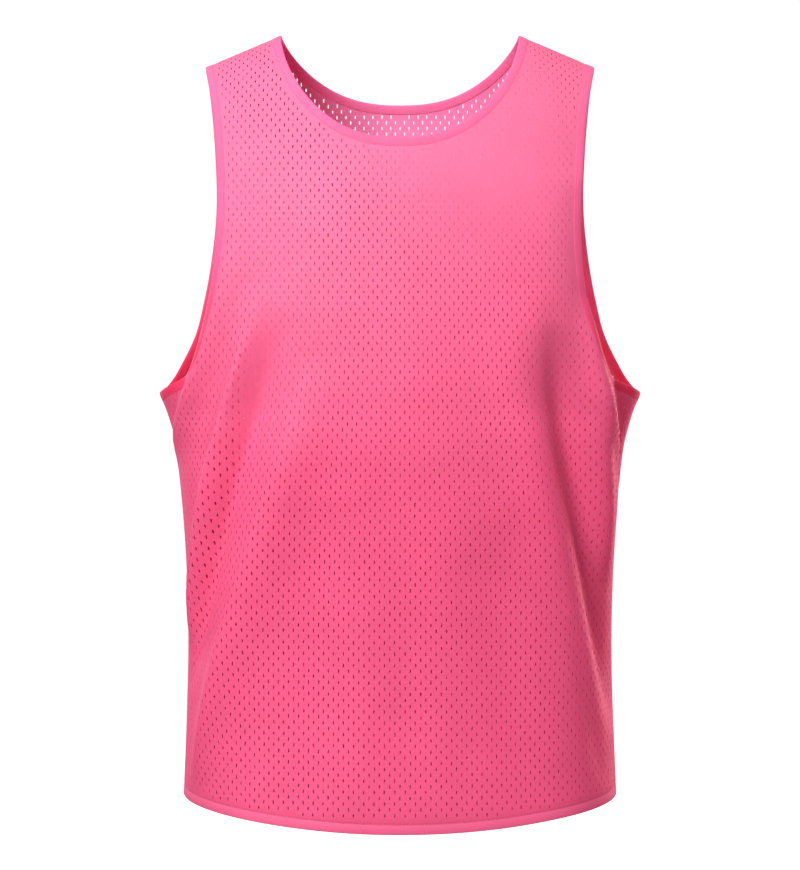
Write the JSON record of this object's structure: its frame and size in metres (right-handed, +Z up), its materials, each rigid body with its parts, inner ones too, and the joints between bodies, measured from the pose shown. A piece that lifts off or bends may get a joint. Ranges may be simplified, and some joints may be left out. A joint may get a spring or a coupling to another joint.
{
  "type": "running singlet",
  "caption": "Sleeveless running singlet of mesh cloth, filled out as worn, with a scooped neck, deep armholes bound in plain tape, and a turned-up hem.",
  "frame": {"origin": "middle of the shoulders, level with the neck ends of the shoulder seams, where the wearer carries the garment", "axes": "+Z up, the front faces -Y, the wearer's left is at +X"},
  "size_m": [0.422, 0.2292, 0.705],
  "materials": {
    "mesh_cloth": "matt knitted polyester mesh with a soft sheen",
    "binding_tape": "matt plain knitted tape, folded over the edge and stitched"
  },
  "bodies": {
    "root": {"front_panel": "mesh_cloth", "back_panel": "mesh_cloth", "neck_binding": "binding_tape", "armhole_binding_left": "binding_tape", "armhole_binding_right": "binding_tape"}
  },
  "joints": []
}
